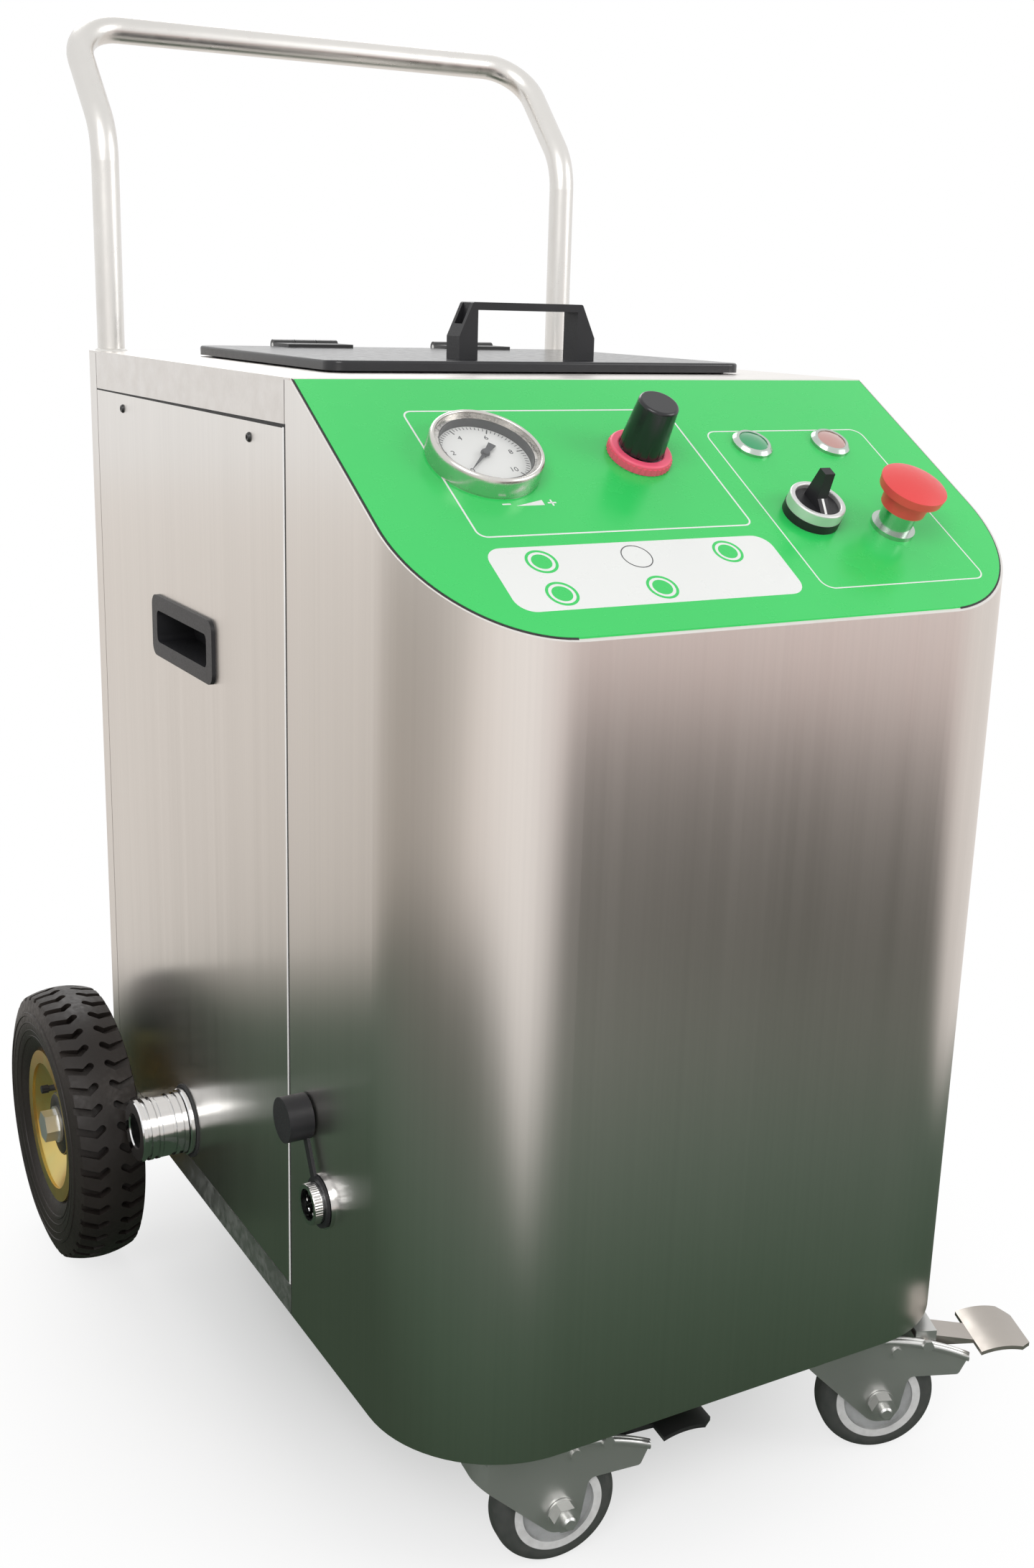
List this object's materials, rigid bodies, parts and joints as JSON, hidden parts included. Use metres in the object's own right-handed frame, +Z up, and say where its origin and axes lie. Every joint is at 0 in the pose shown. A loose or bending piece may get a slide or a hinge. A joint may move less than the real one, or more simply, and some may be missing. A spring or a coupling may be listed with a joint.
{
  "type": "dry-ice blasting machine",
  "caption": "Wheeled stainless dry-ice blasting cabinet for cleaning injection moulds: sloped control panel, hopper lid, push handle, rear wheels and braked swivel casters.",
  "frame": {"origin": "on the floor, under the middle of the whole machine's box", "axes": "+Z up, -Y the front with the sloped panel, +X the right side as seen facing the panel"},
  "size_m": [0.6332, 0.7644, 1.055],
  "materials": {
    "stainless": "brushed, vertical grain on the shell",
    "stainless_tube": "polished",
    "zinc_steel": "zinc plated",
    "panel_green": "gloss printed overlay",
    "black_paint": "semi-gloss powder coat",
    "black_plastic": "moulded",
    "black_gloss": "moulded, glossy",
    "red_plastic": "glossy",
    "pink_plastic": "moulded",
    "green_lens": "clear lens",
    "red_lens": "clear lens",
    "chrome": "bright",
    "dial_white": "matt",
    "glass": "flat glass",
    "tyre_rubber": "matt",
    "caster_rubber": "smooth",
    "seal_rubber": "smooth",
    "rim_gold": "gold metallic",
    "aluminium": "machined",
    "motor_grey": "painted",
    "inner_steel": "mill finish"
  },
  "bodies": {
    "cabinet": {"base_tray": "inner_steel", "front_shell": "stainless", "panel_overlay": "panel_green", "top_cap": "stainless", "rear_panel": "stainless", "side_panel_left": "stainless", "side_panel_right": "stainless", "flush_pulls": "black_plastic", "push_handle": "stainless_tube", "axle": "zinc_steel", "axle_nuts": "zinc_steel", "wheel_bearings": "zinc_steel", "hopper": "inner_steel", "feeder_housing": "aluminium", "gear_motor": "motor_grey", "outlet_pipe": "inner_steel", "air_pipe": "inner_steel", "hose_connector": "stainless_tube", "control_socket": "chrome", "air_inlet": "stainless_tube", "mains_inlet": "black_plastic", "control_box": "black_plastic", "hinge_bases": "black_paint", "hinge_pins": "zinc_steel", "caster_plates": "zinc_steel", "gauge_case": "chrome", "gauge_dial": "dial_white", "gauge_lens": "glass", "regulator_body": "aluminium", "regulator_ring": "pink_plastic", "lamp_bezels": "chrome", "green_lamp": "green_lens", "red_lamp": "red_lens", "feed_dial_base": "black_plastic", "feed_dial_ring": "chrome", "estop_collar": "chrome"},
    "lid": {"lid": "black_gloss", "lid_gasket": "seal_rubber", "lid_handle": "black_plastic", "hinge_leaves": "black_paint"},
    "gauge_pointer": {"gauge_pointer": "black_paint"},
    "regulator_spindle": {"regulator_spindle": "zinc_steel"},
    "regulator_knob": {"regulator_knob": "black_plastic"},
    "feed_knob": {"feed_knob": "black_plastic"},
    "estop_stem": {"estop_stem": "black_plastic"},
    "estop_button": {"estop_button": "red_plastic"},
    "dust_cap": {"dust_cap": "black_plastic"},
    "feeder_rotor": {"feeder_rotor": "aluminium"},
    "wheel_left": {"tyre_left": "tyre_rubber", "rim_left": "rim_gold"},
    "wheel_right": {"tyre_right": "tyre_rubber", "rim_right": "rim_gold"},
    "caster_left": {"caster_fork_left": "zinc_steel", "caster_axle_left": "zinc_steel"},
    "caster_wheel_left": {"caster_wheel_left": "caster_rubber"},
    "brake_pedal_left": {"brake_pedal_left": "black_paint"},
    "caster_right": {"caster_fork_right": "zinc_steel", "caster_axle_right": "zinc_steel"},
    "caster_wheel_right": {"caster_wheel_right": "caster_rubber"},
    "brake_pedal_right": {"brake_pedal_right": "zinc_steel"}
  },
  "joints": [
    {"name": "lid_hinge", "type": "hinge", "parent": "cabinet", "child": "lid", "pos_m": [0, 0.21118, 0.7928], "axis": [-1, 0, 0], "range_deg": [0, 105]},
    {"name": "gauge_needle", "type": "hinge", "parent": "cabinet", "child": "gauge_pointer", "pos_m": [-0.1335, -0.21338, 0.73709], "axis": [0, 0.5202, -0.854], "range_deg": [0, 270], "stiffness_Nm_per_rad": 0.0002},
    {"name": "regulator_turn", "type": "hinge", "parent": "cabinet", "child": "regulator_spindle", "pos_m": [-0.0165, -0.21125, 0.73839], "axis": [0, 0.5202, -0.854], "range_deg": [0, 1440]},
    {"name": "regulator_knob_pull", "type": "slide", "parent": "regulator_spindle", "child": "regulator_knob", "axis": [0, -0.5202, 0.854], "range_m": [0, 0.003]},
    {"name": "feed_rate_turn", "type": "hinge", "parent": "cabinet", "child": "feed_knob", "pos_m": [0.083, -0.26932, 0.70301], "axis": [0, 0.5202, -0.854], "range_deg": [-135, 135]},
    {"name": "estop_push", "type": "slide", "parent": "cabinet", "child": "estop_stem", "axis": [0, 0.5202, -0.854], "range_m": [0, 0.005], "stiffness_N_per_m": 1500, "springref_m": -0.004},
    {"name": "estop_twist", "type": "hinge", "parent": "estop_stem", "child": "estop_button", "pos_m": [0.142, -0.28299, 0.69469], "axis": [0, 0.5202, -0.854], "range_deg": [0, 45], "stiffness_Nm_per_rad": 0.05, "springref_deg": -5.73},
    {"name": "dust_cap_swing", "type": "hinge", "parent": "cabinet", "child": "dust_cap", "pos_m": [-0.23, -0.18882, 0.238], "axis": [1, 0, 0], "range_deg": [-137, 137]},
    {"name": "feeder_spin", "type": "hinge", "parent": "cabinet", "child": "feeder_rotor", "pos_m": [0, 0.09718, 0.213], "axis": [0, 1, 0], "continuous": true},
    {"name": "wheel_spin_left", "type": "hinge", "parent": "cabinet", "child": "wheel_left", "pos_m": [0, 0.23618, 0.12], "axis": [1, 0, 0], "continuous": true},
    {"name": "wheel_spin_right", "type": "hinge", "parent": "cabinet", "child": "wheel_right", "pos_m": [0, 0.23618, 0.12], "axis": [1, 0, 0], "continuous": true},
    {"name": "caster_swivel_left", "type": "hinge", "parent": "cabinet", "child": "caster_left", "pos_m": [-0.141, -0.30882, 0], "axis": [0, 0, 1], "continuous": true},
    {"name": "caster_roll_left", "type": "hinge", "parent": "caster_left", "child": "caster_wheel_left", "pos_m": [-0.11514, -0.31154, 0.0445], "axis": [0.1045, 0.9945, 0], "continuous": true},
    {"name": "brake_press_left", "type": "hinge", "parent": "caster_left", "child": "brake_pedal_left", "pos_m": [-0.08332, -0.31488, 0.0926], "axis": [0.1045, 0.9945, 0], "range_deg": [0, 12], "stiffness_Nm_per_rad": 0.6, "springref_deg": -11.46},
    {"name": "caster_swivel_right", "type": "hinge", "parent": "cabinet", "child": "caster_right", "pos_m": [0.141, -0.30882, 0], "axis": [0, 0, 1], "continuous": true},
    {"name": "caster_roll_right", "type": "hinge", "parent": "caster_right", "child": "caster_wheel_right", "pos_m": [0.16511, -0.31856, 0.0445], "axis": [0.3746, 0.9272, 0], "continuous": true},
    {"name": "brake_press_right", "type": "hinge", "parent": "caster_right", "child": "brake_pedal_right", "pos_m": [0.19478, -0.33055, 0.0926], "axis": [0.3746, 0.9272, 0], "range_deg": [0, 12], "stiffness_Nm_per_rad": 0.6, "springref_deg": -11.46}
  ]
}
